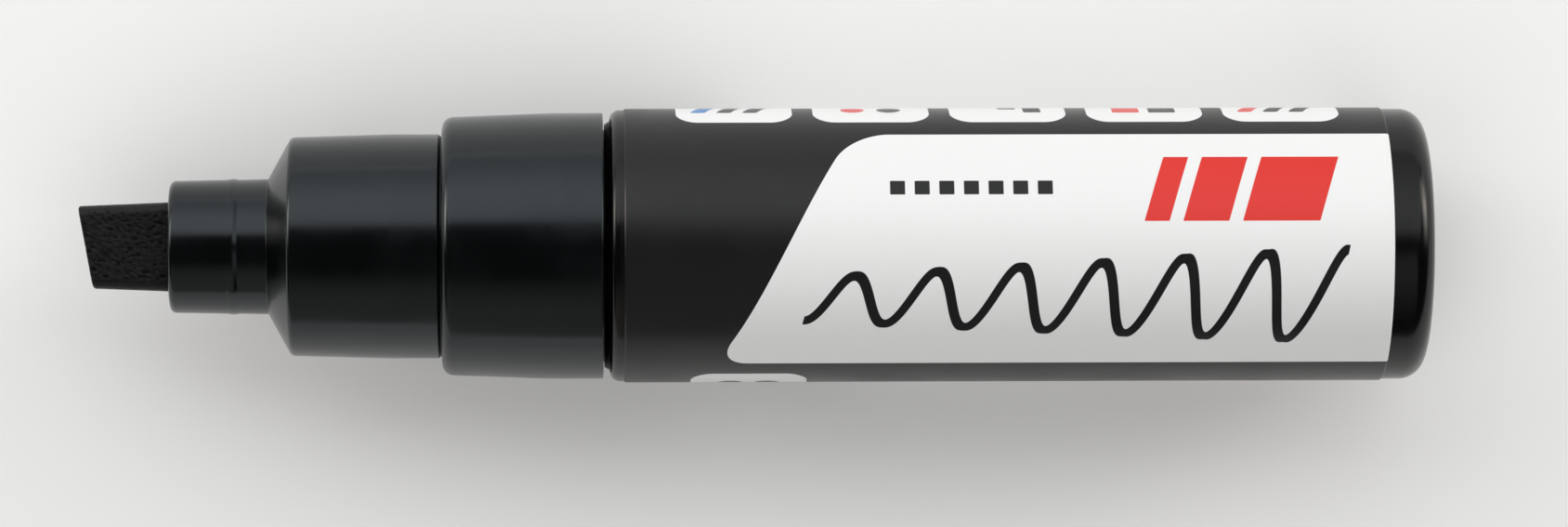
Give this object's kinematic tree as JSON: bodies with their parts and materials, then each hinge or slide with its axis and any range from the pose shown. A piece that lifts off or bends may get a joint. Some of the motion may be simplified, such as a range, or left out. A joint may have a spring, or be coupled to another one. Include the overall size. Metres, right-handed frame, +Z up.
{
  "type": "liquid chalk marker",
  "caption": "Round liquid chalk marker without its cap: a sealed tank barrel in a printed film, a stepped front with a spring-closed ink valve, and a broad slanted fibre nib.",
  "frame": {"origin": "on the surface that the marker lies on, under the middle of its length", "axes": "+X along the marker to its closed rear end, +Y across the broad face of the nib, +Z up"},
  "size_m": [0.13, 0.0264, 0.0265],
  "materials": {
    "nib_fibre": "porous pressed fibre, matte black",
    "front_plastic": "moulded black plastic, glossy, faintly blue-green",
    "barrel_plastic": "moulded black plastic, glossy",
    "label_film": "printed film, satin, black with a white panel",
    "seal_rubber": "soft black rubber",
    "valve_plastic": "natural white plastic, as moulded",
    "rod_plastic": "white bearing plastic, as moulded",
    "spring_steel": "drawn stainless wire",
    "ball_steel": "polished steel"
  },
  "bodies": {
    "marker_body": {"barrel": "barrel_plastic", "label_sleeve": "label_film", "front_housing": "front_plastic", "neck_o_ring": "seal_rubber", "valve_gasket": "seal_rubber", "valve_body": "valve_plastic", "valve_seat": "seal_rubber", "valve_spring": "spring_steel", "spring_retainer": "valve_plastic"},
    "valve_rod": {"valve_rod": "rod_plastic"},
    "nib": {"nib": "nib_fibre"},
    "mixing_ball": {"mixing_ball": "ball_steel"}
  },
  "joints": [
    {"name": "valve_press", "type": "slide", "parent": "marker_body", "child": "valve_rod", "axis": [1, 0, 0], "range_m": [0, 0.003], "stiffness_N_per_m": 500, "springref_m": -0.003, "deforming": ["valve_spring"]},
    {"name": "nib_pull", "type": "slide", "parent": "valve_rod", "child": "nib", "axis": [-1, 0, 0], "range_m": [0, 0.0138]},
    {"name": "ball_roll", "type": "slide", "parent": "marker_body", "child": "mixing_ball", "axis": [1, 0, 0], "range_m": [-0.04777, 0.02047]}
  ]
}
